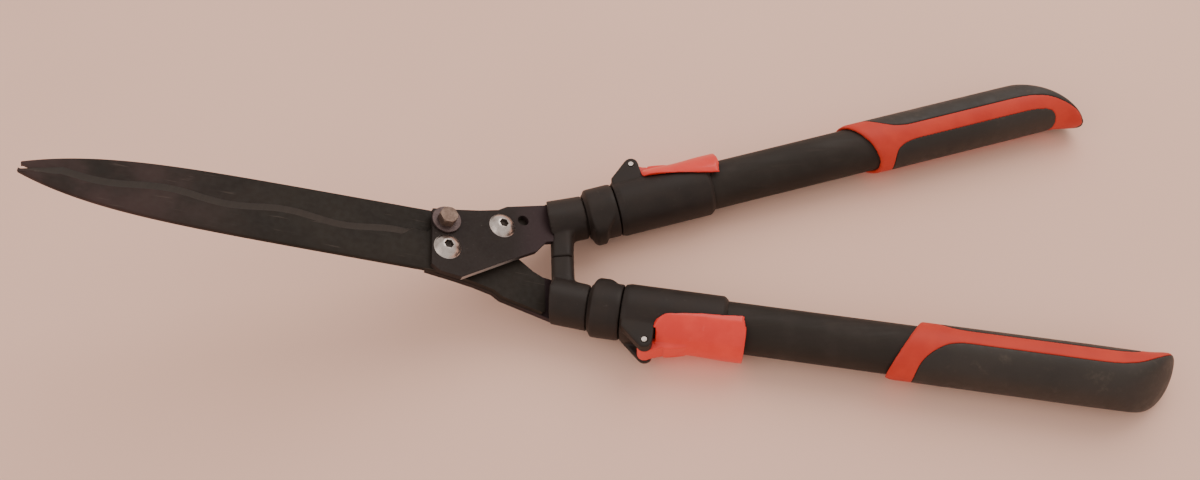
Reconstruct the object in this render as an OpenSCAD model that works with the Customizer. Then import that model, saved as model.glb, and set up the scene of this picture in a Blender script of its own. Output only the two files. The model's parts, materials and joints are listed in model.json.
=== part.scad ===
// Telescopic hedge shears with cranked wavy blades and flip-lock handles.
// Design frame: the two handle axes lie in the plane z = 0 and are mirror images about the
// plane y = 0. The blades point to -X and rise, and the grips point to +X.
// Side A carries the upper blade and the handle on +Y. Side B carries the lower blade and
// the handle on -Y.

/* [Blades] */
// Distance from the fold line, where the blade plane meets the handle plane, to the tips
blade_reach = 275; // [230:1:320]
// Angle between the blade plane and the plane of the handles
crank_angle = 26; // [10:1:30]
// Thickness of each blade
blade_t = 3; // [2:0.1:4]
// Half of the closed blades' width at the heel
blade_half_w = 20; // [16:0.5:24]
// How far each cutting edge passes the middle line when closed
edge_overlap = 3.5; // [2:0.1:5]
// Length of one wave of the cutting edge
wave_length = 58; // [40:1:90]
// Height of the wave either side of its middle
wave_height = 1.5; // [0:0.1:2]
// Thickness of each tang plate
tang_t = 3.5; // [3:0.1:4]

/* [Pivot and screws] */
// Radius of the pivot screw's shank
pivot_r = 4; // [3:0.1:5]
// Radius of the button screw heads
button_r = 7.7; // [6:0.1:8.5]
// Height of the button screw heads
button_h = 4.4; // [3:0.1:5]
// Radius of the spare hole in the upper tang
spare_hole_r = 3.25; // [2.5:0.05:4]
// Distance across the corners of the heel bolt's head
bolt_head_d = 10.8; // [9:0.1:12]
// Height of the heel bolt's head
bolt_head_h = 5.3; // [4:0.1:6]
// Radius of the large washer under it
washer_r = 8.2; // [7:0.1:8.4]
// Thickness of that washer
washer_t = 1.6; // [1:0.1:2]
// Radius of the heel bolts' and tang screws' shanks
screw_r = 3; // [2.5:0.1:3]
// Hexagon key size of the button screws, across the flats
hex_key = 5; // [4:0.5:5]

/* [Handles] */
// Angle of each handle to the middle line when closed
splay = 12.4; // [10:0.1:14]
// Distance of each handle axis from the middle line at the ferrule
handle_offset = 28.6; // [27:0.1:31]
// Outer radius of the inner tube
inner_r = 11; // [10:0.1:11.4]
// Outer radius of the outer tube
outer_r = 14; // [13.8:0.1:14.5]
// Wall thickness of both tubes
tube_wall = 1.2; // [1:0.1:1.4]
// Outer radius of the clamp housing and of the grip
body_r = 16.5; // [16.2:0.1:17.5]
// Length that each handle extends
stroke = 180; // [120:5:190]
// Place of the grip's end along the handle
grip_end = 320; // [312:1:340]

/* [Hidden] */

A = 1;
B = -1;
steel_black = "#3a332e";
plastic_black = "#2e2926";
orange = "#d9573f";
zinc = "#c9c4bd";

$fn = 64;
far = 400;
rub = 0.05;

// Blade plane: local x runs towards the handles, y across and z is the plane's normal.
fold_x = 49.4;
ferrule_front_x = 44;
root_x = 59.3;
pivot_pos = [-66.8, -5.9];
heel_bolt_pos = [-68.2, 10.6];
tang_screw_pos = [-35.6, 14.3];
spare_hole_pos = [-23, 20.4];
stack_half = blade_t + tang_t;
tip_gap = 2.4;
socket_depth = 2.6;
nut_h = 7;
nut_key = 13;
first_crest = -94;
wave_end = -78;
wave_start = -blade_reach + 18;
wave_steps = 60;

// Height of each tang's tail in its tube, and of the strap that enters it
tail_top_a = 6;
tail_top_b = -2;
tail_half_w = 7;
tail_end = 24;
rivet_t = 16;
rivet_r = 2;

// Places along a handle axis, from the ferrule's reference point
ferrule_end = 7.3;
collar_start = 7.9;
collar_end = 25.9;
housing_start = 26.5;
housing_end = 84;
housing_chamfer = 2.5;
seat_start = 50;
bush_len = 12;
tube_overlap = 34;
inner_end = seat_start + stroke + tube_overlap;
grip_start = 170;
band_w = 16;

// Flip lock
pin_t = 41.6;
pin_out = 20.7;
pin_r = 1.5;
ear_r = 4.3;
ear_in = 6;
ear_top = 13;
ear_bottom = 9.5;
barrel_r = 4.1;
lever_gap = 0.4;
lever_t = 2.2;
lever_start = 44;
lever_end = 94.8;
lever_half_h = 18.4;

// Grip: rubber pads of pad_t lie on the core, and a strip of it shows between them.
// A large ball rounds its end, most on the upper outer side, and a leaning rod forms the hook.
pad_t = 1.6;
band_lean = 28.5;
strip_out = -0.8;
strip_in = -9.7;
knob_start = grip_end - 44;
knob_t = grip_end - 41.9;
knob_r = 45.6;
knob_out = body_r + 0.4 - knob_r;
knob_turn = 36.6;
hook_t = grip_end - 16;
hook_lean = 11.4;
hook_turn = 18;
hook_room = 0.3;
tube_end = grip_end - 38;
knob_tip = [grip_end + 2.4, -19.2];

// The row's origin stands under the middle of the whole length
tip_x = fold_x - blade_reach * cos(crank_angle) - blade_t * sin(crank_angle);
end_x = root_x + knob_tip[0] * cos(splay) - knob_tip[1] * sin(splay);
origin_shift = [-(tip_x + end_x) / 2, 0, lever_half_h];

module in_row() {
  translate(origin_shift)
    children();
}

module in_blade_plane() {
  in_row()
    translate([fold_x, 0, 0])
      rotate([0, crank_angle, 0])
        children();
}

module mirrored(side) {
  if (side == A)
    children();
  else
    mirror([0, 1, 0])
      children();
}

// Side B's blade parts are side A's turned over about the middle line.
module turned(side) {
  if (side == A)
    children();
  else
    rotate([180, 0, 0])
      children();
}

module in_handle(side) {
  in_row()
    mirrored(side)
      translate([root_x, handle_offset, 0])
        rotate([0, 0, splay])
          children();
}

// A rod, or with r_in a ring, along the handle axis
module along(t0, t1, r, r_in = 0) {
  translate([t0, 0, 0])
    rotate([0, 90, 0])
      difference() {
        cylinder(h = t1 - t0, r = r);
        if (r_in > 0)
          translate([0, 0, -1])
            cylinder(h = t1 - t0 + 2, r = r_in);
      }
}

// Point where the line from p touches the circle about c, on its left
function touch(p, c, r) =
  let (d = c - p, a = atan2(d[1], d[0]) + asin(r / norm(d)))
  c + r * [-sin(a), cos(a)];

// ---------- Blades ----------

function wave(u) = edge_overlap + wave_height * cos(360 * (u - first_crest) / wave_length);

function spine(u) =
  let (s = (pivot_pos[0] - u) / (blade_reach + pivot_pos[0]))
  -blade_half_w * (1 - 0.14 * s - 0.68 * pow(s, 6.5));

function spine_points() = [
  for (i = [0 : 24])
    let (u = -74 - (blade_reach - 74 - 1) * i / 24)
    [u, spine(u)]
];

function edge_points() = [
  for (i = [0 : wave_steps])
    let (u = wave_start + (wave_end - wave_start) * i / wave_steps)
    [u, wave(u)]
];

module blade_outline() {
  polygon(concat(
    [[-12, 12], [-18, 6], [-30, -4], [-54, -19]],
    spine_points(),
    [[-blade_reach, -tip_gap], [-blade_reach + 6, 0.6]],
    edge_points(),
    [[-74, 7], [-72, 17], [-40, 20.5], [-33, 25], [-14, 30.5], [-12, 28]]
  ));
}

module stack_hole(pos, r) {
  translate([pos[0], pos[1], -far])
    cylinder(h = 2 * far, r = r);
}

module blade(side) {
  color(steel_black)
    in_blade_plane()
      difference() {
        turned(side)
          translate([0, 0, rub])
            linear_extrude(blade_t - rub)
              difference() {
                blade_outline();
                translate(tang_screw_pos)
                  circle(r = screw_r);
              }
        stack_hole(pivot_pos, pivot_r + rub);
        stack_hole(heel_bolt_pos, screw_r);
      }
}

// ---------- Tangs ----------

function slope_x(w, z) = fold_x + (w / cos(crank_angle) - z) / tan(crank_angle);

// Side view of a tang: down the blade plane, then level into the tube
module tang_side_view(w0, w1, z0, z1) {
  run = 140;
  polygon([
    [slope_x(w0, z0), z0],
    [far, z0],
    [far, z1],
    [slope_x(w1, z1), z1],
    [slope_x(w1, z1) - run * cos(crank_angle), z1 + run * sin(crank_angle)],
    [slope_x(w0, z0) - run * cos(crank_angle), z0 + run * sin(crank_angle)]
  ]);
}

// The inner edges differ a little, so that the crotch between the tangs stays open.
module tang_outline(side) {
  neck = side == A
    ? [[2, 12], [-9, 9], [-15, 1.6]]
    : [[6, 11], [-8, 9], [-14, 6], [-22, 0]];
  polygon(concat(
    [[-76, 17], [-60, 19.5], [-49, 21.5], [-38, 24.3], [-33, 27.6], [-9, 34], [2, 37]],
    neck,
    [[-28, -5.6], [-58, -23.3], [-70, -21.5], [-75, -18]]
  ));
}

module tang_tail() {
  translate([0, 0, -far])
    linear_extrude(2 * far)
      union() {
        translate([-14, -9])
          square([12, 18]);
        translate([-3, -tail_half_w])
          square([tail_end + 3, 2 * tail_half_w]);
      }
}

module tang_body(side) {
  low = side == A ? blade_t : -stack_half;
  tail_top = side == A ? tail_top_a : tail_top_b;
  intersection() {
    in_row()
      translate([0, far, 0])
        rotate([90, 0, 0])
          linear_extrude(2 * far)
            tang_side_view(low, low + tang_t, tail_top - tang_t, tail_top);
    union() {
      in_blade_plane()
        translate([0, 0, -20])
          linear_extrude(40)
            mirrored(side)
              tang_outline(side);
      in_handle(side)
        tang_tail();
    }
  }
}

module tang(side) {
  color(steel_black)
    difference() {
      tang_body(side);
      in_blade_plane() {
        stack_hole(pivot_pos, pivot_r + rub);
        stack_hole(heel_bolt_pos, screw_r);
        turned(side)
          stack_hole(tang_screw_pos, screw_r);
        if (side == A)
          stack_hole(spare_hole_pos, spare_hole_r);
      }
      in_handle(side)
        stack_hole([rivet_t, 0], rivet_r);
    }
}

// ---------- Screws of the blade stack ----------

module button_head() {
  dome_r = (pow(button_r, 2) + pow(button_h, 2)) / (2 * button_h);
  difference() {
    intersection() {
      cylinder(h = button_h, r = button_r);
      translate([0, 0, button_h - dome_r])
        sphere(r = dome_r);
    }
    translate([0, 0, button_h - socket_depth])
      cylinder(h = button_h, r = hex_key / 2 / cos(30), $fn = 6);
  }
}

module pivot_screw() {
  color(zinc)
    in_blade_plane()
      translate([pivot_pos[0], pivot_pos[1], 0]) {
        translate([0, 0, stack_half])
          button_head();
        translate([0, 0, -stack_half - nut_h - 1])
          cylinder(h = 2 * stack_half + nut_h + 1.1, r = pivot_r);
      }
}

module pivot_nut() {
  collar_h = 2;
  collar_r = 5.8;
  color(zinc)
    in_blade_plane()
      translate([pivot_pos[0], pivot_pos[1], -stack_half - nut_h - 2 * rub])
        difference() {
          union() {
            translate([0, 0, collar_h])
              cylinder(h = nut_h - collar_h, r = nut_key / 2 / cos(30), $fn = 6);
            cylinder(h = collar_h + 0.1, r = collar_r);
          }
          translate([0, 0, -1])
            cylinder(h = nut_h + 2, r = pivot_r);
        }
}

module tang_screw(side) {
  color(zinc)
    in_blade_plane()
      turned(side)
        translate([tang_screw_pos[0], tang_screw_pos[1], 0]) {
          translate([0, 0, stack_half])
            button_head();
          translate([0, 0, 2 * rub])
            cylinder(h = stack_half, r = screw_r);
        }
}

// The heel bolts of the two sides stand back to back on one line.
module facing(side) {
  if (side == A)
    children();
  else
    mirror([0, 0, 1])
      children();
}

module heel_washer(side) {
  color(zinc)
    in_blade_plane()
      facing(side)
        translate([heel_bolt_pos[0], heel_bolt_pos[1], stack_half])
          difference() {
            cylinder(h = washer_t, r = washer_r);
            translate([0, 0, -1])
              cylinder(h = washer_t + 2, r = screw_r);
          }
}

module heel_bolt(side) {
  color("#8d7b72")
    in_blade_plane()
      facing(side)
        translate([heel_bolt_pos[0], heel_bolt_pos[1], 0]) {
          translate([0, 0, 2 * rub])
            cylinder(h = stack_half + washer_t, r = screw_r);
          translate([0, 0, stack_half + washer_t])
            intersection() {
              cylinder(h = bolt_head_h, r = bolt_head_d / 2, $fn = 6);
              cylinder(h = bolt_head_h, r1 = bolt_head_d / 2 + 2, r2 = bolt_head_d / 2 - 0.6);
            }
        }
}

// ---------- Ferrule: a moulded block with a stop arm ----------

// The block rises towards its front, to meet the sloping tang.
module ferrule_block() {
  block_r = 13;
  front_rise = 8;
  intersection() {
    translate([ferrule_end, 0, 0])
      rotate([0, front_rise, 0])
        along(-40, 5, block_r);
    along(-40, ferrule_end, 2 * block_r);
  }
}

module stop_arm() {
  arm_front = ferrule_front_x + 2.2;
  arm_w = 12.6;
  arm_half_h = 8.4;
  bevel = 2;
  translate([arm_front, 2 * rub, 0])
    rotate([-90, 0, 0])
      linear_extrude(handle_offset - 8)
        polygon([
          [0, bevel - arm_half_h], [bevel, -arm_half_h], [arm_w - bevel, -arm_half_h],
          [arm_w, bevel - arm_half_h], [arm_w, arm_half_h - bevel], [arm_w - bevel, arm_half_h],
          [bevel, arm_half_h], [0, arm_half_h - bevel]
        ]);
}

// The block's front leans back towards the arm.
module behind_slanted_front() {
  front_slant = 5.7;
  translate([ferrule_front_x, handle_offset + 12, 0])
    rotate([0, 0, front_slant])
      translate([0, -far, -far])
        cube([far, 2 * far, 2 * far]);
}

module ferrule(side) {
  color(plastic_black)
    difference() {
      union() {
        intersection() {
          in_handle(side)
            ferrule_block();
          in_row()
            mirrored(side)
              behind_slanted_front();
        }
        in_row()
          mirrored(side)
            stop_arm();
      }
      tang_body(side);
      in_handle(side)
        along(-1, far, inner_r);
    }
}

module tang_rivet(side) {
  color(zinc)
    in_handle(side)
      translate([rivet_t, 0, -inner_r + 0.3])
        cylinder(h = 2 * inner_r - 0.6, r = rivet_r);
}

module inner_tube(side) {
  color(steel_black)
    in_handle(side)
      difference() {
        along(-1, inner_end, inner_r, inner_r - tube_wall);
        stack_hole([rivet_t, 0], rivet_r);
      }
}

module tube_bush(side) {
  color(plastic_black)
    in_handle(side)
      along(inner_end - bush_len, inner_end, outer_r - tube_wall - 2 * rub, inner_r);
}

module stop_collar(side) {
  lip_start = collar_start + 1.5;
  lip_len = 7.5;
  lip_r = 15.2;
  lip_out = 2.9;
  color(plastic_black)
    in_handle(side)
      difference() {
        union() {
          rotate([0, 90, 0])
            rotate_extrude()
              polygon([
                [inner_r, collar_start], [13.6, collar_start], [14.8, collar_start + 1.5],
                [15.4, collar_end - 6], [15.8, collar_end - 1], [15.4, collar_end],
                [inner_r, collar_end]
              ]);
          translate([0, -lip_out, 0])
            along(lip_start, lip_start + lip_len, lip_r);
        }
        along(0, far, inner_r);
      }
}

// ---------- Clamp housing and flip lock ----------

module ear_outline() {
  foot_front = [housing_start + 1, 14];
  lobe = [pin_t, pin_out];
  polygon([
    [housing_start + 1, 9], foot_front, touch(foot_front, lobe, ear_r), lobe,
    [pin_t + ear_r, pin_out], [pin_t + ear_r, 9]
  ]);
  translate(lobe)
    circle(r = ear_r);
}

module ears() {
  translate([0, 0, ear_in])
    linear_extrude(ear_top - ear_in)
      ear_outline();
  translate([0, 0, -ear_bottom])
    linear_extrude(ear_bottom - ear_in)
      ear_outline();
}

module cross_pin_hole(r) {
  translate([pin_t, pin_out, -far])
    cylinder(h = 2 * far, r = r);
}

module clamp_housing(side) {
  color(plastic_black)
    in_handle(side)
      difference() {
        union() {
          rotate([0, 90, 0])
            rotate_extrude()
              polygon([
                [0, housing_start], [15.6, housing_start], [body_r, housing_start + 3],
                [body_r, housing_end - housing_chamfer], [body_r - 2, housing_end], [0, housing_end]
              ]);
          ears();
        }
        along(0, far, inner_r + 0.08);
        along(seat_start, far, outer_r);
        cross_pin_hole(pin_r);
        // Window for the brake shoe and the cam
        translate([pin_t - 6, 5, -ear_in])
          cube([12, 30, 2 * ear_in]);
      }
}

module brake_shoe(side) {
  shoe_front = pin_t - 5.6;
  shoe_rear = lever_start - 0.6;
  shoe_half_h = 5.7;
  color(zinc)
    in_handle(side)
      difference() {
        translate([shoe_front, 8, -shoe_half_h])
          cube([shoe_rear - shoe_front, pin_out - barrel_r - 3 * rub - 8, 2 * shoe_half_h]);
        along(0, far, inner_r + 0.08);
      }
}

module lever_pin(side) {
  color(zinc)
    in_handle(side)
      translate([pin_t, pin_out, -ear_bottom - 0.3])
        cylinder(h = ear_bottom + ear_top + 0.6, r = pin_r);
}

// The lever's side outline, which widens towards its free end
module lever_outline() {
  corner = 8;
  half_front = lever_half_h - 1.2;
  hull_free = [
    [lever_start + corner, half_front], [lever_end - 3, lever_half_h],
    [lever_end, lever_half_h - 3], [lever_end, 3 - lever_half_h],
    [lever_end - 3, -lever_half_h], [lever_start + corner, -half_front]
  ];
  polygon(concat(hull_free, [
    [lever_start, corner - half_front], [lever_start, half_front - corner]
  ]));
  for (z = [-1, 1])
    translate([lever_start + corner, z * (half_front - corner)])
      circle(r = corner);
}

// The part of the shell beyond a plane that leans inwards towards the free end
module beyond_skirt() {
  skirt_front = 9;
  skirt_lean = 9;
  translate([lever_start, skirt_front, -far])
    rotate([0, 0, -skirt_lean])
      translate([-20, 0, 0])
        cube([far, far, 2 * far]);
}

module lever_shell(inside_r, outside_r) {
  intersection() {
    along(lever_start, lever_end, outside_r, inside_r);
    rotate([-90, 0, 0])
      linear_extrude(far)
        lever_outline();
    beyond_skirt();
  }
}

module lever_neck(inside_r, outside_r) {
  neck_half_h = ear_in - 0.4;
  translate([0, 0, -neck_half_h])
    linear_extrude(2 * neck_half_h)
      difference() {
        union() {
          translate([pin_t, pin_out])
            circle(r = barrel_r);
          polygon([
            [pin_t, pin_out - barrel_r], [pin_t + 10, inside_r + 0.5],
            [pin_t + 14, inside_r + 0.5], [pin_t + 22, outside_r - 0.2],
            [pin_t + 10, outside_r + 1.6], [pin_t, pin_out + barrel_r]
          ]);
        }
        translate([pin_t, pin_out])
          circle(r = pin_r + rub);
      }
}

// Room for an ear, from z0 up
module ear_room(z0, h) {
  clear = 0.9;
  translate([0, 0, z0])
    linear_extrude(h) {
      translate([pin_t, pin_out])
        circle(r = ear_r + clear);
      translate([pin_t - 10, 0])
        square([10 + ear_r + clear, pin_out]);
    }
}

module lever(side) {
  inside_r = body_r + lever_gap;
  outside_r = inside_r + lever_t;
  color(orange)
    in_handle(side)
      difference() {
        union() {
          lever_shell(inside_r, outside_r);
          lever_neck(inside_r, outside_r);
        }
        ear_room(ear_in - 0.3, ear_top - ear_in + 0.7);
        ear_room(-ear_bottom - 0.4, ear_bottom - ear_in + 0.7);
      }
}

// ---------- Outer tube and grip ----------

module outer_tube(side) {
  color(steel_black)
    in_handle(side)
      along(seat_start, tube_end, outer_r, outer_r - tube_wall);
}

module grip_solid(inset) {
  half = body_r - inset;
  along(grip_start, knob_start + 1, half);
  intersection() {
    rotate([knob_turn, 0, 0])
      translate([knob_t, knob_out, 0])
        sphere(r = knob_r - inset);
    union() {
      along(knob_start, grip_end + 10, half);
      translate([hook_t, 0, 0])
        rotate([hook_turn, 0, 0])
          rotate([0, 0, -hook_lean])
            along(0, 40, half - hook_room);
    }
  }
}

// Plan of the area that each rubber pad covers
module pad_zone(outer) {
  start = grip_start + band_w;
  translate([0, 0, -far])
    linear_extrude(2 * far)
      if (outer)
        polygon([
          [start + 20, strip_out], [grip_end - 36, strip_out], [grip_end - 26, strip_out - 2.5],
          [grip_end - 15, strip_out - 8], [grip_end, strip_out - 17], [far, -far / 2], [far, far],
          [start - 2, far], [start - 2, 14], [start + 3, 8], [start + 11, 2]
        ]);
      else
        polygon([
          [start + 22, strip_in], [grip_end - 32, strip_in], [grip_end - 24, strip_in - 2.7],
          [grip_end - 19, -15.5], [grip_end - 19, -far], [start + 9, -far], [start + 9, -15.4],
          [start + 13, -12]
        ]);
}

module grip_pad(side, outer) {
  color(plastic_black)
    in_handle(side)
      intersection() {
        difference() {
          grip_solid(0);
          grip_solid(pad_t);
        }
        pad_zone(outer);
      }
}

// The core's front edge runs back towards the inner side.
module band_front() {
  translate([grip_start, body_r, 0])
    rotate([0, 0, band_lean])
      translate([-far, -far, -far])
        cube([far, 2 * far, 2 * far]);
}

module grip_core(side) {
  color(orange)
    in_handle(side)
      difference() {
        union() {
          grip_solid(pad_t);
          difference() {
            grip_solid(0);
            pad_zone(true);
            pad_zone(false);
          }
        }
        along(0, tube_end, outer_r);
        band_front();
      }
}

blade(A);  // blade_a
blade(B);  // blade_b
tang(A);  // tang_a
tang(B);  // tang_b
pivot_screw();
pivot_nut();
heel_bolt(A);  // heel_bolt_a
heel_bolt(B);  // heel_bolt_b
heel_washer(A);  // heel_washer_a
heel_washer(B);  // heel_washer_b
tang_screw(A);  // tang_screw_a
tang_screw(B);  // tang_screw_b
ferrule(A);  // ferrule_a
ferrule(B);  // ferrule_b
tang_rivet(A);  // tang_rivet_a
tang_rivet(B);  // tang_rivet_b
stop_collar(A);  // stop_collar_a
stop_collar(B);  // stop_collar_b
inner_tube(A);  // inner_tube_a
inner_tube(B);  // inner_tube_b
tube_bush(A);  // tube_bush_a
tube_bush(B);  // tube_bush_b
clamp_housing(A);  // clamp_housing_a
clamp_housing(B);  // clamp_housing_b
brake_shoe(A);  // brake_shoe_a
brake_shoe(B);  // brake_shoe_b
lever_pin(A);  // lever_pin_a
lever_pin(B);  // lever_pin_b
lever(A);  // lever_a
lever(B);  // lever_b
outer_tube(A);  // outer_tube_a
outer_tube(B);  // outer_tube_b
grip_core(A);  // grip_core_a
grip_core(B);  // grip_core_b
grip_pad(A, true);  // grip_pad_outer_a
grip_pad(B, true);  // grip_pad_outer_b
grip_pad(A, false);  // grip_pad_inner_a
grip_pad(B, false);  // grip_pad_inner_b
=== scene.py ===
import json
import math

import bmesh
import bpy
from mathutils import Matrix, Vector

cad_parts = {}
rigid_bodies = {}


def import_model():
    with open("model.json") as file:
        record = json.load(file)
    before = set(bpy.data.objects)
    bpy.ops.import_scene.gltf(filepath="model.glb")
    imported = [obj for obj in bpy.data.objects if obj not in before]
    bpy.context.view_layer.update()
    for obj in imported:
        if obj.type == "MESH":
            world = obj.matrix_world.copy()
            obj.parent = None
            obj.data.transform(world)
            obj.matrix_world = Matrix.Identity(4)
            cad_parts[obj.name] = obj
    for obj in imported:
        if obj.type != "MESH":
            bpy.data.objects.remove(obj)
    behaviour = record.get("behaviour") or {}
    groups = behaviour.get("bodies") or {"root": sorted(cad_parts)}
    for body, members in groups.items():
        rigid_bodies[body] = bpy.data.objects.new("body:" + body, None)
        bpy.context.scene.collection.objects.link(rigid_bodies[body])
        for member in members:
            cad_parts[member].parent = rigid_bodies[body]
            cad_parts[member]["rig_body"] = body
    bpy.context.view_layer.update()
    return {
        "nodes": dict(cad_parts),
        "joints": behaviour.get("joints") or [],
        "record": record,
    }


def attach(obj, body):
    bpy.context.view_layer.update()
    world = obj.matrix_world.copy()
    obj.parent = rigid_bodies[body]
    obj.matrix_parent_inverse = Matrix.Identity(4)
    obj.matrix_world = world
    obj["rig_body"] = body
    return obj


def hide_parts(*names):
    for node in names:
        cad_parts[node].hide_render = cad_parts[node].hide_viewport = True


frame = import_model()

MM = 0.001
# How many points a ring has on turned pieces
AROUND = 96
SIDES = "ab"
UP = Vector((0, 0, 1))
NODES = frame["nodes"]
JOINTS = {j["name"]: j for j in frame["joints"]}
SLOT_OF = {s["node"]: s["material_slot"] for s in frame["record"]["subparts"]}

# ---------- The two frames that the shears are laid out in ----------

# Blade plane: u runs towards the handles, v across and w along the plane's normal.
PIVOT_U, PIVOT_V = -66.8, -5.9
pivot_axis = Vector(JOINTS["blade_pivot"]["axis"])
pivot_point = Vector(JOINTS["blade_pivot"]["pos_m"])


def frame_matrix(x, y, z, origin):
    m = Matrix((x, y, z)).transposed().to_4x4()
    m.translation = origin
    return m


def blade_frame():
    along = Vector((pivot_axis.z, 0, -pivot_axis.x))
    across = Vector((0, 1, 0))
    origin = pivot_point - along * PIVOT_U * MM - across * PIVOT_V * MM
    return frame_matrix(along, across, pivot_axis, origin)


# The flip lock's pin, in its handle's frame
PIN_T, PIN_OUT = 41.6, 20.7


def handle_frame(side):
    """t runs along the handle, v outwards and z up. The flip lock's joint gives its place."""
    along = Vector(JOINTS["extend_" + side]["axis"])
    out = UP.cross(along) * (1 if side == "a" else -1)
    pin = Vector(JOINTS["flip_" + side]["pos_m"])
    return frame_matrix(along, out, UP, pin - along * PIN_T * MM - out * PIN_OUT * MM)


BLADES = blade_frame()
HANDLE = {side: handle_frame(side) for side in SIDES}


def blade_point(u, v, w):
    return BLADES @ (Vector((u, v, w)) * MM)


def smooth(low, high, x):
    f = min(1.0, max(0.0, (x - low) / (high - low)))
    return f * f * (3 - 2 * f)


def between(points, x):
    """The height at x of the line through points, which are in order of x"""
    for (x0, y0), (x1, y1) in zip(points, points[1:]):
        if x <= x1:
            return y0 + (y1 - y0) * max(0.0, x - x0) / (x1 - x0)
    return points[-1][1]


# ---------- Materials ----------

class Graph:
    """One node material, with the few kinds of node that the finishes share."""

    def __init__(self, name, metallic=0.0, coat=0.0, specular=0.5):
        self.mat = bpy.data.materials.new(name)
        self.mat.use_nodes = True
        self.tree = self.mat.node_tree
        self.shader = self.tree.nodes["Principled BSDF"]
        self.shader.inputs["Metallic"].default_value = metallic
        self.shader.inputs["Coat Weight"].default_value = coat
        self.shader.inputs["Specular IOR Level"].default_value = specular
        self.place = self.tree.nodes.new("ShaderNodeTexCoord")
        self.object = self.place.outputs["Object"]

    def put(self, socket, value):
        """Gives a socket its value, or links it to another node's output"""
        if isinstance(value, bpy.types.NodeSocket):
            self.tree.links.new(value, socket)
        else:
            socket.default_value = value

    def mapped(self, scale, turn=(0, 0, 0)):
        """Object coordinates, turned and stretched"""
        node = self.tree.nodes.new("ShaderNodeMapping")
        self.put(node.inputs["Vector"], self.object)
        node.inputs["Scale"].default_value = scale
        node.inputs["Rotation"].default_value = turn
        return node.outputs["Vector"]

    def noise(self, size, detail, roughness=0.55, vector=None):
        """Cloudy noise whose features are about size metres across"""
        node = self.tree.nodes.new("ShaderNodeTexNoise")
        self.put(node.inputs["Vector"], vector or self.object)
        node.inputs["Scale"].default_value = 1 / size
        node.inputs["Detail"].default_value = detail
        node.inputs["Roughness"].default_value = roughness
        return node.outputs["Fac"]

    def cells(self, size):
        """Rounded cells about size metres across"""
        node = self.tree.nodes.new("ShaderNodeTexVoronoi")
        self.put(node.inputs["Vector"], self.object)
        node.inputs["Scale"].default_value = 1 / size
        return node.outputs["Distance"]

    def math(self, kind, a, b=0.0):
        node = self.tree.nodes.new("ShaderNodeMath")
        node.operation = kind
        self.put(node.inputs[0], a)
        self.put(node.inputs[1], b)
        return node.outputs[0]

    def level(self, value, low, high, to_low=0.0, to_high=1.0):
        """value from low..high taken smoothly to to_low..to_high"""
        node = self.tree.nodes.new("ShaderNodeMapRange")
        node.interpolation_type = "SMOOTHSTEP"
        self.put(node.inputs["Value"], value)
        for name, number in (("From Min", low), ("From Max", high),
                             ("To Min", to_low), ("To Max", to_high)):
            node.inputs[name].default_value = number
        return node.outputs["Result"]

    def dot(self, vector, direction):
        """How far vector reaches along direction"""
        node = self.tree.nodes.new("ShaderNodeVectorMath")
        node.operation = "DOT_PRODUCT"
        self.put(node.inputs[0], vector)
        node.inputs[1].default_value = direction
        return node.outputs["Value"]

    def near(self, point, core, reach):
        """1 within core metres of a point, falling to 0 at reach"""
        node = self.tree.nodes.new("ShaderNodeVectorMath")
        node.operation = "DISTANCE"
        self.put(node.inputs[0], self.object)
        node.inputs[1].default_value = point
        return self.level(node.outputs["Value"], reach, core)

    def mix(self, factor, a, b):
        node = self.tree.nodes.new("ShaderNodeMix")
        node.data_type = "RGBA"
        self.put(node.inputs["Factor"], factor)
        self.put(node.inputs["A"], a)
        self.put(node.inputs["B"], b)
        return node.outputs["Result"]

    def bump(self, height, distance, strength, normal=None):
        """A normal for heights 0..1 of a surface whose relief is distance metres deep"""
        node = self.tree.nodes.new("ShaderNodeBump")
        self.put(node.inputs["Height"], height)
        node.inputs["Distance"].default_value = distance
        node.inputs["Strength"].default_value = strength
        if normal is not None:
            self.put(node.inputs["Normal"], normal)
        return node.outputs["Normal"]

    def finish(self, colour, rough, normal=None):
        self.put(self.shader.inputs["Base Color"], colour)
        self.put(self.shader.inputs["Roughness"], rough)
        if normal is not None:
            self.put(self.shader.inputs["Normal"], normal)
        return self.mat


def shade(r, g, b):
    """A colour given as 0..255 screen values, for a node's linear socket"""
    def linear(c):
        c /= 255
        return c / 12.92 if c <= 0.04045 else ((c + 0.055) / 1.055) ** 2.4
    return (linear(r), linear(g), linear(b), 1)


def blade_steel():
    """Dark coated steel, browner towards the tips, with faint scratches and one bare nick"""
    g = Graph("blade_steel", specular=0.15)
    cloud = g.noise(0.03, 4)
    fine = g.noise(0.003, 3)
    colour = g.mix(g.level(cloud, 0.35, 0.7), shade(37, 31, 26), shade(44, 37, 31))
    tip = g.level(g.dot(g.object, (1, 0, 0)), -0.17, -0.28)
    colour = g.mix(g.math("MULTIPLY", tip, g.level(cloud, 0.25, 0.7)), colour, shade(70, 52, 50))
    scratches = g.noise(0.0012, 2, vector=g.mapped((0.06, 1, 0.06), (0, 0.3, 0.35)))
    marks = g.level(scratches, 0.64, 0.74)
    colour = g.mix(g.math("MULTIPLY", marks, 0.22), colour, shade(104, 90, 82))
    nick = g.near(blade_point(-267.5, -0.9, 3.0), 0.0006, 0.0024)
    nick = g.math("MULTIPLY", nick, g.level(g.noise(0.0016, 3), 0.42, 0.55))
    colour = g.mix(nick, colour, shade(196, 182, 176))
    rough = g.level(fine, 0.3, 0.7, 0.5, 0.62)
    return g.finish(colour, rough, g.bump(fine, 0.00004, 0.5, g.bump(cloud, 0.0002, 0.3)))


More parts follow.
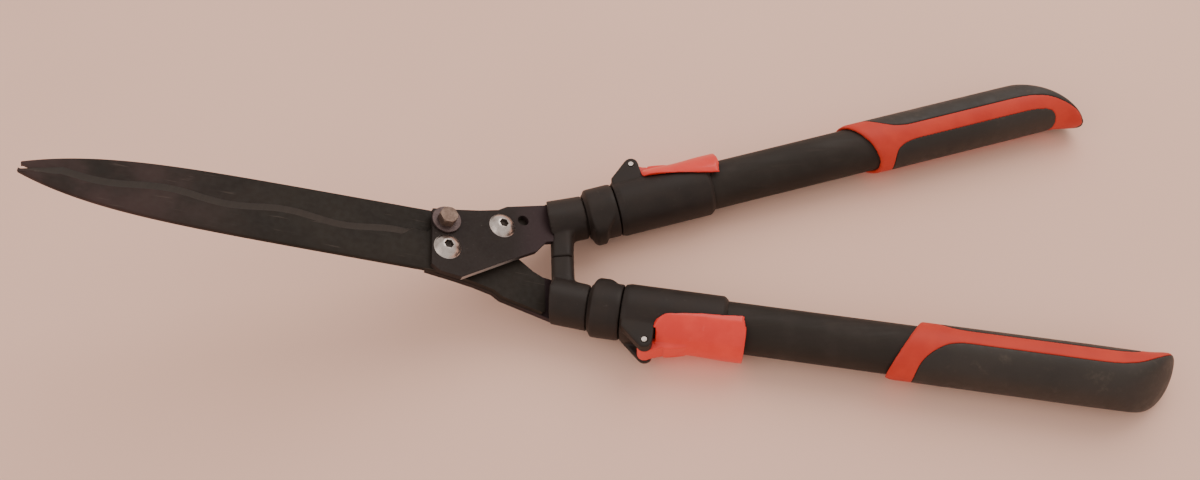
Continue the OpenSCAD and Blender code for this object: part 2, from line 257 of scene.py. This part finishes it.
def ground_steel():
    """The coated bevel: fine grinding lines show through across the edge"""
    g = Graph("ground_steel", metallic=0.1, specular=0.25)
    lines = g.noise(0.0009, 3, vector=g.mapped((1, 0.05, 0.05)))
    cloud = g.noise(0.02, 3)
    colour = g.mix(g.level(lines, 0.3, 0.7), shade(46, 39, 34), shade(56, 48, 43))
    colour = g.mix(g.level(cloud, 0.5, 0.8), colour, shade(48, 40, 36))
    return g.finish(colour, g.level(lines, 0.3, 0.7, 0.42, 0.54), g.bump(lines, 0.00003, 0.6))


def painted_steel(lighter_edge):
    """Dark paint over plate, with a painted highlight near the tube. When asked, the edge faces that
    face one way are painted lighter in patches, fading out towards the tube.
    """
    g = Graph("painted_steel_lighter_edge" if lighter_edge else "painted_steel", specular=0.15)
    cloud = g.noise(0.025, 4)
    peel = g.noise(0.0014, 2)
    colour = g.mix(g.level(cloud, 0.35, 0.7), shade(41, 33, 30), shade(48, 39, 36))
    # Painted highlight: the paint is lighter and purpler near the tube, standing for the light that the
    # tang's bend catches there
    painted_light_near_tube = g.level(g.dot(g.object, (1, 0, 0)), -0.068, -0.048)
    colour = g.mix(g.math("MULTIPLY", painted_light_near_tube, 0.7), colour, shade(62, 46, 49))
    scuffs = g.noise(0.0014, 3, vector=g.mapped((0.15, 1, 1), (0, 0, 0.5)))
    colour = g.mix(g.math("MULTIPLY", g.level(scuffs, 0.66, 0.78), 0.3), colour, shade(104, 92, 86))
    rough = g.level(peel, 0.3, 0.7, 0.5, 0.62)
    if lighter_edge:
        # Edge faces that face one way are painted lighter in patches, fading out towards the tube
        facing = g.math("ABSOLUTE", g.dot(g.place.outputs["Normal"], tuple(pivot_axis)))
        side = g.level(facing, 0.55, 0.3)
        lower = g.level(g.dot(g.place.outputs["Normal"], (0.4, -0.9, -0.2)), 0.86, 0.94)
        lighter_edge_mask = g.math("MULTIPLY", g.math("MULTIPLY", side, lower), g.level(cloud, 0.1, 0.35))
        lighter_edge_mask = g.math("MULTIPLY", lighter_edge_mask, g.level(g.dot(g.object, (1, 0, 0)), -0.058, -0.072))
        colour = g.mix(lighter_edge_mask, colour, shade(160, 148, 142))
    return g.finish(colour, rough, g.bump(peel, 0.00005, 0.4))


def tube_steel():
    """Satin black lacquer on tube, with soft rubbed streaks along it"""
    g = Graph("tube_steel", specular=0.2)
    streak = g.noise(0.004, 3, vector=g.mapped((0.12, 1, 1)))
    dust = g.noise(0.018, 5)
    colour = g.mix(g.level(dust, 0.4, 0.75), shade(44, 37, 32), shade(52, 44, 39))
    colour = g.mix(g.math("MULTIPLY", g.level(streak, 0.55, 0.8), 0.4), colour, shade(64, 55, 49))
    return g.finish(colour, g.level(streak, 0.3, 0.7, 0.52, 0.64), g.bump(streak, 0.00003, 0.4))


def black_plastic():
    """Moulded nylon with a fine spark-eroded texture and paler scuffs"""
    g = Graph("black_plastic", specular=0.25)
    grain = g.cells(0.0007)
    cloud = g.noise(0.014, 5)
    scuff = g.noise(0.0045, 4, 0.7)
    colour = g.mix(g.level(cloud, 0.35, 0.7), shade(39, 31, 27), shade(47, 38, 33))
    colour = g.mix(g.math("MULTIPLY", g.level(scuff, 0.62, 0.8), 0.5), colour, shade(84, 74, 70))
    return g.finish(colour, g.level(cloud, 0.3, 0.7, 0.48, 0.6), g.bump(grain, 0.00005, 0.35))


def orange_plastic():
    """Orange moulded lever: nearly smooth, a little mottled, paler where it is rubbed"""
    g = Graph("orange_plastic", coat=0.15)
    cloud = g.noise(0.012, 4)
    grain = g.noise(0.0008, 2)
    colour = g.mix(g.level(cloud, 0.35, 0.7), shade(232, 47, 34), shade(240, 60, 45))
    rub = g.level(g.noise(0.005, 5, 0.7), 0.62, 0.78)
    colour = g.mix(g.math("MULTIPLY", rub, 0.25), colour, shade(242, 130, 108))
    return g.finish(colour, g.level(cloud, 0.3, 0.7, 0.34, 0.46), g.bump(grain, 0.00003, 0.3))


def orange_grip():
    """The grip's orange core, matt and slightly soiled"""
    g = Graph("orange_grip", specular=0.3)
    cloud = g.noise(0.016, 5)
    grain = g.cells(0.0006)
    soil = g.level(g.noise(0.006, 5, 0.7), 0.58, 0.76)
    colour = g.mix(g.level(cloud, 0.35, 0.7), shade(196, 51, 34), shade(208, 62, 43))
    colour = g.mix(g.math("MULTIPLY", soil, 0.3), colour, shade(160, 58, 40))
    return g.finish(colour, g.level(cloud, 0.3, 0.7, 0.5, 0.62), g.bump(grain, 0.00004, 0.3))


def black_rubber():
    """Soft over-moulded rubber, dusty in patches"""
    g = Graph("black_rubber", specular=0.35)
    grain = g.cells(0.0006)
    dust = g.noise(0.007, 6, 0.68)
    broad = g.noise(0.04, 3)
    colour = g.mix(g.level(broad, 0.35, 0.7), shade(46, 39, 34), shade(54, 46, 40))
    powder = g.math("MULTIPLY", g.level(dust, 0.52, 0.78), g.level(broad, 0.3, 0.65))
    colour = g.mix(g.math("MULTIPLY", powder, 0.5), colour, shade(92, 80, 70))
    rough = g.level(dust, 0.3, 0.7, 0.46, 0.64)
    return g.finish(colour, rough, g.bump(grain, 0.00006, 0.4))


def zinc_steel():
    """Bright plated steel with fine turning marks and dull patches"""
    g = Graph("zinc_steel", metallic=1.0)
    patch = g.noise(0.004, 4)
    fine = g.noise(0.0006, 2)
    colour = g.mix(g.level(patch, 0.4, 0.7), shade(206, 195, 188), shade(176, 163, 156))
    return g.finish(colour, g.level(fine, 0.3, 0.7, 0.24, 0.34), g.bump(fine, 0.00001, 0.2))


def socket_dirt_and_shade():
    """Greasy dirt and painted shade in the sockets of the screws: the dark colour is partly real dirt
    and partly the shade deep in the recess
    """
    g = Graph("socket_dirt_and_shade", specular=0.2)
    clump = g.noise(0.0012, 3)
    colour = g.mix(g.level(clump, 0.35, 0.65), shade(44, 37, 33), shade(84, 74, 68))
    return g.finish(colour, g.level(clump, 0.3, 0.7, 0.7, 0.85), g.bump(clump, 0.0001, 0.6))


def browned_steel(name, dark, light):
    """Brown-grey passivated steel"""
    g = Graph(name, metallic=0.7)
    patch = g.noise(0.005, 5, 0.65)
    fine = g.noise(0.0008, 3)
    colour = g.mix(g.level(patch, 0.35, 0.7), dark, light)
    return g.finish(colour, g.level(fine, 0.3, 0.7, 0.4, 0.55), g.bump(fine, 0.00004, 0.5))


FINISH = {
    "blade_steel": blade_steel(),
    "painted_steel": painted_steel(False),
    "tube_steel": tube_steel(),
    "black_plastic": black_plastic(),
    "orange_plastic": orange_plastic(),
    "orange_grip": orange_grip(),
    "black_rubber": black_rubber(),
    "zinc_steel": zinc_steel(),
    "bronzed_bolt": browned_steel("bronzed_bolt", shade(102, 82, 72), shade(130, 108, 96)),
}
GROUND = ground_steel()
LIGHTER_EDGE_PLATE = painted_steel(True)
# Socket colour: partly real dirt, partly painted shade deep in the sockets
SOCKET_DIRT_AND_SHADE = socket_dirt_and_shade()
WASHER = browned_steel("bronzed_washer", shade(80, 66, 65), shade(102, 86, 84))

# ---------- Pieces ----------


def stand_for(piece, node):
    """piece is shown in place of a CAD node, on its body."""
    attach(piece, NODES[node]["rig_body"])
    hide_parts(node)


def add_object(name, bm, materials, angle=35):
    mesh = bpy.data.meshes.new(name)
    bm.to_mesh(mesh)
    bm.free()
    for material in materials:
        mesh.materials.append(material)
    mesh.shade_smooth()
    mesh.set_sharp_from_angle(angle=math.radians(angle))
    piece = bpy.data.objects.new(name, mesh)
    bpy.context.scene.collection.objects.link(piece)
    return piece


def ring_of(bm, place):
    """A ring of points. place gives the point at each angle."""
    return [bm.verts.new(place(2 * math.pi * k / AROUND)) for k in range(AROUND)]


def ring_faces(bm, rings, finish_of=lambda row, k: 0):
    """Faces from each ring of points to the next. finish_of gives each face's material."""
    for row, (ring, after) in enumerate(zip(rings, rings[1:])):
        for k in range(len(ring)):
            m = (k + 1) % len(ring)
            face = bm.faces.new((ring[k], ring[m], after[m], after[k]))
            face.material_index = finish_of(row, k)


def to_row(bm, frame_of):
    """Brings a mesh from the millimetres of one of the two frames to the row's metres"""
    bm.transform(frame_of @ Matrix.Scale(MM, 4))
    bmesh.ops.recalc_face_normals(bm, faces=bm.faces)


def apply_modifiers(piece):
    """Puts the result of the piece's modifiers in its mesh"""
    graph = bpy.context.evaluated_depsgraph_get()
    mesh = bpy.data.meshes.new_from_object(piece.evaluated_get(graph))
    piece.modifiers.clear()
    old = piece.data
    piece.data = mesh
    bpy.data.meshes.remove(old)


def soften_edges(piece, width=0.3, angle=32):
    """Small rounded edges on a piece that keeps its CAD shape"""
    weld = piece.modifiers.new("weld", "WELD")
    weld.merge_threshold = 0.002 * MM
    edge = piece.modifiers.new("edge", "BEVEL")
    edge.width = width * MM
    edge.segments = 2
    edge.limit_method = "ANGLE"
    edge.angle_limit = math.radians(angle)
    edge.use_clamp_overlap = True
    even = piece.modifiers.new("even", "WEIGHTED_NORMAL")
    even.keep_sharp = True


def node_copy(name, *nodes):
    """A new object with the meshes of CAD nodes in it"""
    bm = bmesh.new()
    for node in nodes:
        bm.from_mesh(NODES[node].data)
    return add_object(name, bm, [FINISH[SLOT_OF[nodes[0]]]])


def remould(piece, voxel, passes, ratio):
    """Rounds a piece's corners and fills its joins, as moulding does"""
    remesh = piece.modifiers.new("remesh", "REMESH")
    remesh.mode = "VOXEL"
    remesh.voxel_size = voxel * MM
    remesh.use_smooth_shade = True
    relax = piece.modifiers.new("relax", "SMOOTH")
    relax.factor = 0.5
    relax.iterations = passes
    thin = piece.modifiers.new("thin", "DECIMATE")
    thin.ratio = ratio
    apply_modifiers(piece)


def moulded(node, voxel, passes, ratio=0.4):
    """A CAD node with its corners rounded, standing for that node"""
    piece = node_copy(node + "_moulded", node)
    remould(piece, voxel, passes, ratio)
    stand_for(piece, node)
    return piece


def relax_part(piece, frame_of, weight, passes):
    """Smooths the part of a piece where weight(t, v, z) is above 0"""
    group = piece.vertex_groups.new(name="relaxed")
    to_handle = frame_of.inverted()
    for vert in piece.data.vertices:
        amount = weight(to_handle @ vert.co / MM)
        if amount > 0:
            group.add([vert.index], amount, "REPLACE")
    relax = piece.modifiers.new("relax", "SMOOTH")
    relax.factor = 0.5
    relax.iterations = passes
    relax.vertex_group = group.name
    apply_modifiers(piece)
    piece.vertex_groups.clear()


def reshape(piece, frame_of, move):
    """Moves each point of a piece to where move puts it, in millimetres of a handle's frame"""
    to_handle = frame_of.inverted()
    for vert in piece.data.vertices:
        vert.co = frame_of @ (move(to_handle @ vert.co / MM) * MM)


# ---------- Blades ----------

REACH = 275.0
HALF_W = 20.0
EDGE_OVERLAP = 3.5
WAVE_HEIGHT = 1.5
WAVE_LENGTH = 58.0
FIRST_CREST = -94.0
WAVE_END = -78.0
WAVE_START = -REACH + 18
BEVEL_W = 5.6
PLATE_LOW, PLATE_HIGH = 0.05, 3.0
EDGE_THICK = 0.35
CROWN = 0.012
# The side of a section that is the ground bevel, counted from its first point
GROUND_SIDE = 4


def wave(u):
    """The wavy edge's height across the blade"""
    return EDGE_OVERLAP + WAVE_HEIGHT * math.cos(2 * math.pi * (u - FIRST_CREST) / WAVE_LENGTH)


def spine(u):
    """The back's height across the blade: nearly straight, then sweeping up to the tip"""
    s = (PIVOT_U - u) / (REACH + PIVOT_U)
    return -HALF_W * (1 - 0.14 * s - 0.68 * max(0.0, s) ** 6.5)


HEEL_TOP = [(WAVE_END, wave(WAVE_END)), (-74, 7), (-73, 17), (-60, 19.2), (-49, 21.2), (-38, 24),
            (-33, 27.3), (-9.5, 33.4), (-8, 32)]
HEEL_BOTTOM = [(-74, spine(-74)), (-54, -19), (-30, -4), (-18, 6), (-8, 12)]
HEEL_END = -8
TIP_TOP = [(-REACH, -2.4), (-REACH + 6, 0.6), (WAVE_START, wave(WAVE_START))]


def blade_top(u):
    if u < WAVE_START:
        return between(TIP_TOP, u)
    return wave(u) if u < WAVE_END else between(HEEL_TOP, u)


def blade_bottom(u):
    if u > -74:
        return between(HEEL_BOTTOM, u)
    flat = spine(u)
    return min(flat, blade_top(u) - 0.4)


def blade_section(u):
    """Points of the blade's section at u, from the spine round by the mating face"""
    top, bottom = blade_top(u), blade_bottom(u)
    width = BEVEL_W * smooth(-WAVE_END + 6, -WAVE_END + 14, -u)
    width = min(width, 0.45 * (top - bottom))
    lift = EDGE_THICK + (PLATE_HIGH - EDGE_THICK) * (1 - width / BEVEL_W) ** 3
    crown = CROWN * (top - bottom) / (2 * HALF_W)
    shoulder = top - width
    middle = (shoulder + bottom) / 2
    return [
        (bottom, 0.6), (bottom + 0.35, PLATE_LOW), (middle, PLATE_LOW), (top, PLATE_LOW),
        (top, lift), (shoulder - 0.05, PLATE_HIGH - 0.1), (shoulder - 1.2, PLATE_HIGH - 0.02),
        (middle, PLATE_HIGH - 0.02 + crown), (bottom + 1.3, PLATE_HIGH - 0.05),
        (bottom + 0.35, PLATE_HIGH - 0.35), (bottom, PLATE_HIGH - 1.0),
    ]


def stations():
    """Where the blade's sections are: every 1.6 mm, and at each corner of its outline"""
    step = 1.6
    length = REACH + HEEL_END
    steps = int(length / step)
    us = {-REACH + length * i / steps for i in range(steps + 1)}
    us |= {u for u, _ in HEEL_TOP + HEEL_BOTTOM + TIP_TOP}
    return sorted(us)


def blade_piece(side):
    """Blade b is blade a turned over about the length of the blades."""
    bm = bmesh.new()
    us = stations()
    rings = [[bm.verts.new((u, v, w)) for v, w in blade_section(u)] for u in us]
    ring_faces(bm, rings, lambda row, k: 1 if k == GROUND_SIDE else 0)
    bm.faces.new(rings[0])
    bm.faces.new(list(reversed(rings[-1])))
    turn = Matrix.Identity(4) if side == "a" else Matrix.Rotation(math.pi, 4, "X")
    to_row(bm, BLADES @ turn)
    return add_object("blade_steel_" + side, bm, [FINISH["blade_steel"], GROUND], angle=20)


for side in SIDES:
    stand_for(blade_piece(side), "blade_" + side)

# ---------- Ferrules, collars, housings and levers ----------

# How far to each side the stop arms meet their blocks
ARM_ROOT = 17.2
COLLAR_START, COLLAR_END = 7.9, 25.9
COLLAR_FRONT_R = 13.2
COLLAR_STEP = 2.4
LIP_LEAN = math.radians(20)
LIP_LOW, LIP_HIGH = 0.35, 2.2
# Where the lip ends along the handle, over most of the collar and on its inner side
LIP_END, LIP_END_INNER = 24.6, 17.2
COLLAR_EDGE = 0.5
TUBE_R = 11.0


def collar_radius(t, inner):
    """The collar's lip stands out on the inner side, and runs back over the top."""
    body = COLLAR_FRONT_R + COLLAR_STEP * smooth(COLLAR_START, COLLAR_START + 2.4, t)
    lip_end = LIP_END + (LIP_END_INNER - LIP_END) * inner
    front = smooth(COLLAR_START + 0.4, COLLAR_START + 4.2, t)
    lip = (LIP_LOW + LIP_HIGH * inner) * front * (1 - smooth(lip_end - 1.3, lip_end + 1.5, t))
    return body + lip - COLLAR_EDGE * smooth(COLLAR_END - 0.8, COLLAR_END, t)


def collar_piece(side):
    """A ring round the inner tube, whose first and last rows lie on the tube"""
    bm = bmesh.new()
    steps = 36
    rings = []
    for i in range(steps + 3):
        t = COLLAR_START + (COLLAR_END - COLLAR_START) * min(max(i - 1, 0), steps) / steps

        def place(angle):
            inner = smooth(0.2, 0.95, -math.cos(angle - LIP_LEAN))
            r = collar_radius(t, inner) if 0 < i < steps + 2 else TUBE_R
            return t, r * math.cos(angle), r * math.sin(angle)

        rings.append(ring_of(bm, place))
    ring_faces(bm, rings + rings[:1])
    to_row(bm, HANDLE[side])
    piece = add_object("collar_" + side, bm, [FINISH["black_plastic"]], angle=50)
    soften_edges(piece, width=0.35, angle=50)
    return piece


def ferrule_piece(side):
    """The stop arm flows into the block in a wide fillet."""
    piece = moulded("ferrule_" + side, voxel=0.6, passes=6)

    def at_root(p):
        across = (HANDLE[side] @ (p * MM)).y / MM
        return 1 - smooth(2.5, 6.5, abs(abs(across) - ARM_ROOT))

    relax_part(piece, HANDLE[side], at_root, passes=40)


# Each lever's shell begins and ends here along its handle
LEVER_START, LEVER_END = 44, 94.8
SHELL_R = 18
# How each shell is turned about its handle at its end, widened at its front and shortened
LEVER_TURN = {"a": math.radians(13), "b": 0.0}
LEVER_SPREAD = {"a": 0.0, "b": 0.1}
LEVER_SHORT = {"a": 4.0, "b": 0.0}
# The neck that the shell hangs from stands a little above it, and the shell sags behind the neck
NECK_HALF_H = 5.6
NECK_RISE = 0.9
SHELL_SAG = 0.5


def lever_piece(side):
    """The shell is a little saddle-shaped, and wraps round the handle unevenly."""
    piece = moulded("lever_" + side, voxel=0.5, passes=4, ratio=0.5)

    def move(p):
        t, v, z = p
        r = math.hypot(v, z)
        angle = math.atan2(z, v)
        angle += LEVER_TURN[side] * smooth(LEVER_START + 4, LEVER_END, t)
        if z > 0:
            front = smooth(LEVER_START + 1, LEVER_START + 8, t) * (1 - smooth(60, 92, t))
            angle *= 1 + LEVER_SPREAD[side] * front
        if r > SHELL_R and t > 52:
            r -= SHELL_SAG * smooth(54, 64, t) * (1 - smooth(66, 86, t))
            on_neck = 1 - smooth(NECK_HALF_H - 0.8, NECK_HALF_H + 0.4, abs(z))
            r += NECK_RISE * (1 - smooth(58, 70, t)) * on_neck
        t -= LEVER_SHORT[side] * smooth(60, LEVER_END, t)
        return Vector((t, r * math.cos(angle), r * math.sin(angle)))

    reshape(piece, HANDLE[side], move)


for side in SIDES:
    ferrule_piece(side)
    stand_for(collar_piece(side), "stop_collar_" + side)
    moulded("clamp_housing_" + side, voxel=0.6, passes=5)
    lever_piece(side)

# ---------- Grips ----------

GRIP_START = 170
GRIP_END = 320
BODY_R = 16.5
BAND_LEAN = math.radians(28.5)
# Well outside the grip
FAR = 60


def rounded(points, radius):
    """The closed outline through points, with its corners rounded"""
    steps = 8
    outline = []
    corners = [Vector(p) for p in points]
    for before, corner, after in zip(corners[-1:] + corners[:-1], corners, corners[1:] + corners[:1]):
        start, end = [corner + (other - corner) * min(radius / (other - corner).length, 0.48)
                      for other in (before, after)]
        for i in range(steps + 1):
            f = i / steps
            outline.append(start.lerp(corner, f).lerp(corner.lerp(end, f), f))
    return outline


def prism(outline, side):
    """A tall block over an outline in a handle's plan, to cut with"""
    tall = 40
    bm = bmesh.new()
    low, high = [[bm.verts.new((p.x, p.y, z)) for p in outline] for z in (-tall, tall)]
    bm.faces.new(low)
    bm.faces.new(high)
    for i in range(len(outline)):
        k = (i + 1) % len(outline)
        bm.faces.new((low[i], low[k], high[k], high[i]))
    to_row(bm, HANDLE[side])
    return add_object("cutter", bm, [])


def cut(piece, cutter, operation):
    boolean = piece.modifiers.new("cut", "BOOLEAN")
    boolean.operation = operation
    boolean.solver = "MANIFOLD"
    boolean.object = cutter
    apply_modifiers(piece)


def outer_zone():
    """The plan of the outer rubber pad"""
    return rounded([
        (GRIP_START + 32, -0.9), (GRIP_END - 36, -0.9), (GRIP_END - 24, -3.4), (GRIP_END - 14, -9),
        (GRIP_END, -18), (GRIP_END + 20, -FAR), (GRIP_END + 20, FAR), (GRIP_START + 13, FAR),
        (GRIP_START + 14, 14), (GRIP_START + 21, 6)], 9)


def inner_zone():
    """The plan of the inner rubber pad"""
    return rounded([
        (GRIP_START + 34, -9.8), (GRIP_END - 30, -9.8), (GRIP_END - 18.5, -13), (GRIP_END - 18.5, -FAR),
        (GRIP_START + 25, -FAR), (GRIP_START + 25, -14)], 9)


def grip_body(side):
    """The whole grip in one skin, with a soft nose and a front edge that is thin at its lip"""
    nodes = [name + side for name in ("grip_core_", "grip_pad_outer_", "grip_pad_inner_")]
    body = node_copy("grip_body", *nodes)
    remould(body, voxel=0.9, passes=4, ratio=1.0)
    relax_part(body, HANDLE[side], lambda p: smooth(GRIP_END - 50, GRIP_END - 22, p.x), passes=80)

    def taper(p):
        t, v, z = p
        r = math.hypot(v, z)
        from_edge = (t - GRIP_START) * math.cos(BAND_LEAN) + (v - BODY_R) * math.sin(BAND_LEAN)
        length = 8 + 4 * v / BODY_R
        most = BODY_R + 3 - 4.2 * (1 - smooth(-2, length, from_edge))
        if t < GRIP_START + 30 and r > most:
            return Vector((t, v * most / r, z * most / r))
        return p

    reshape(body, HANDLE[side], taper)
    return body


def grip_pieces(side):
    """The orange core is the body outside both pads' zones, and each pad is the body within its own."""
    body = grip_body(side)
    outer = prism(outer_zone(), side)
    inner = prism(inner_zone(), side)
    for node, keep, remove in (("grip_core_", None, (outer, inner)), ("grip_pad_outer_", outer, ()),
                               ("grip_pad_inner_", inner, ())):
        finish = FINISH[SLOT_OF[node + side]]
        piece = bpy.data.objects.new(node + side + "_moulded", body.data.copy())
        bpy.context.scene.collection.objects.link(piece)
        if keep:
            cut(piece, keep, "INTERSECT")
        for cutter in remove:
            cut(piece, cutter, "DIFFERENCE")
        remould(piece, voxel=0.5, passes=4, ratio=0.35)
        piece.data.materials.clear()
        piece.data.materials.append(finish)
        stand_for(piece, node + side)
    for scratch in (body, outer, inner):
        bpy.data.objects.remove(scratch)


for side in SIDES:
    grip_pieces(side)

# ---------- Button screws, with dirt and painted shade in their sockets ---

BUTTON_R, BUTTON_H = 7.7, 4.4
SHANK_R = 4.0
SOCKET_R, SOCKET_DEPTH = 2.6, 2.0
TANG_SCREW = (-35.6, 14.3)
# How many of the profile's last rows follow the hexagon, and how many of them are painted dark with
# dirt and shade
HEX_ROWS, DIRT_AND_SHADE_ROWS = 4, 3


def button_profile(low, top):
    """Radius and height from the shank's end up over the dome to the socket's floor"""
    axis_r = 0.05
    seat = top - BUTTON_H
    dome_r = (BUTTON_R ** 2 + BUTTON_H ** 2) / (2 * BUTTON_H)
    profile = [(axis_r, low), (SHANK_R, low), (SHANK_R, seat)]
    profile += [(BUTTON_R - 0.3, seat), (BUTTON_R, seat + 0.3)]
    steps = 13
    for i in range(1, steps + 1):
        r = BUTTON_R + (SOCKET_R + 0.25 - BUTTON_R) * i / steps
        profile.append((r, top - dome_r + math.sqrt(dome_r ** 2 - r ** 2)))
    edge = profile[-1][1]
    bottom = edge - SOCKET_DEPTH
    return profile + [(SOCKET_R, edge - 0.2), (SOCKET_R - 0.1, bottom), (axis_r, bottom)]


def hexagon_radius(corner, angle):
    """How far a hexagon's side is from its middle at an angle"""
    from_flat = angle % (math.pi / 3) - math.pi / 6
    return corner * math.cos(math.pi / 6) / math.cos(from_flat)


def button_screw(node, u, v, up):
    """up is 1 for a screw whose head is above the tangs, and -1 below them."""
    to_blades = BLADES.inverted()
    heights = [(to_blades @ vert.co / MM).z * up for vert in NODES[node].data.vertices]
    bm = bmesh.new()
    profile = button_profile(min(heights), max(heights))
    rows = len(profile)
    rings = []
    for i, (radius, w) in enumerate(profile):

        def place(angle):
            r = hexagon_radius(radius, angle) if i >= rows - HEX_ROWS else radius
            return u + r * math.cos(angle), v + r * math.sin(angle), w * up

        rings.append(ring_of(bm, place))
    # The socket's last rows and its floor are painted dark: partly dirt, partly painted shade in the
    # recess
    ring_faces(bm, rings, lambda row, k: 1 if row >= rows - DIRT_AND_SHADE_ROWS else 0)
    bm.faces.new(rings[0])
    bm.faces.new(rings[-1]).material_index = 1
    to_row(bm, BLADES)
    piece = add_object(node + "_worn", bm, [FINISH["zinc_steel"], SOCKET_DIRT_AND_SHADE], angle=40)
    stand_for(piece, node)


button_screw("pivot_screw", PIVOT_U, PIVOT_V, 1)
button_screw("tang_screw_a", *TANG_SCREW, 1)
button_screw("tang_screw_b", TANG_SCREW[0], -TANG_SCREW[1], -1)

# ---------- CAD parts that keep their shape ----------

SPECIAL = {"tang_a": LIGHTER_EDGE_PLATE, "heel_washer_a": WASHER, "heel_washer_b": WASHER}
for name, node in NODES.items():
    if node.hide_render:
        continue
    for material_slot in node.material_slots:
        material_slot.material = SPECIAL.get(name, FINISH[SLOT_OF[name]])
    soften_edges(node)

# ---------- Floor, light and camera ----------


def floor():
    """A plain pale floor"""
    size = 6.0
    bm = bmesh.new()
    bmesh.ops.create_grid(bm, x_segments=4, y_segments=4, size=size)
    g = Graph("floor")
    grain = g.noise(0.004, 4)
    broad = g.noise(0.3, 2)
    colour = g.mix(g.level(broad, 0.3, 0.7), shade(248, 201, 179), shade(252, 205, 183))
    piece = add_object("floor", bm, [g.finish(colour, 0.8, g.bump(grain, 0.00003, 0.2))])


def area_light(name, place, aim, size, power, colour):
    light = bpy.data.lights.new(name, "AREA")
    light.shape = "DISK"
    light.size = size
    light.energy = power
    light.color = colour
    lamp = bpy.data.objects.new(name, light)
    lamp.location = place
    lamp.rotation_mode = "QUATERNION"
    lamp.rotation_quaternion = (Vector(aim) - Vector(place)).to_track_quat("-Z", "Y")
    bpy.context.scene.collection.objects.link(lamp)


def world_light(strength):
    world = bpy.data.worlds.new("studio")
    bpy.context.scene.world = world
    world.use_nodes = True
    sky = world.node_tree.nodes["Background"]
    sky.inputs["Color"].default_value = (1.0, 0.93, 0.88, 1)
    sky.inputs["Strength"].default_value = strength


# The view: from the blades' right, steeply down, with the camera rolled a little
VIEW_AZIMUTH = math.radians(1.16)
VIEW_ELEVATION = math.radians(58.35)
VIEW_ROLL = math.radians(-4.42)
VIEW_DISTANCE = 0.58272
VIEW_LENS = 30.0
SENSOR_WIDTH = 36.0
VIEW_AIM = pivot_point + Vector((0.08529, 0.01992, -0.02928))


def camera():
    a, e, r = VIEW_AZIMUTH, VIEW_ELEVATION, VIEW_ROLL
    back = Vector((math.sin(a) * math.cos(e), -math.cos(a) * math.cos(e), math.sin(e)))
    right = Vector((math.cos(a), math.sin(a), 0))
    up = back.cross(right)
    x = math.cos(r) * right + math.sin(r) * up
    y = -math.sin(r) * right + math.cos(r) * up
    data = bpy.data.cameras.new("camera")
    data.lens = VIEW_LENS
    data.sensor_width = SENSOR_WIDTH
    data.clip_start = 0.01
    cam = bpy.data.objects.new("camera", data)
    cam.matrix_world = frame_matrix(x, y, back, VIEW_AIM + back * VIEW_DISTANCE)
    bpy.context.scene.collection.objects.link(cam)
    bpy.context.scene.camera = cam


floor()
area_light("key", (0.55, 0.75, 1.1), (0, 0, 0), 1.2, 8, (1.0, 0.96, 0.92))
area_light("fill", (-0.9, -0.5, 1.0), (0, 0, 0), 1.2, 3, (1.0, 0.94, 0.9))
world_light(0.85)
camera()
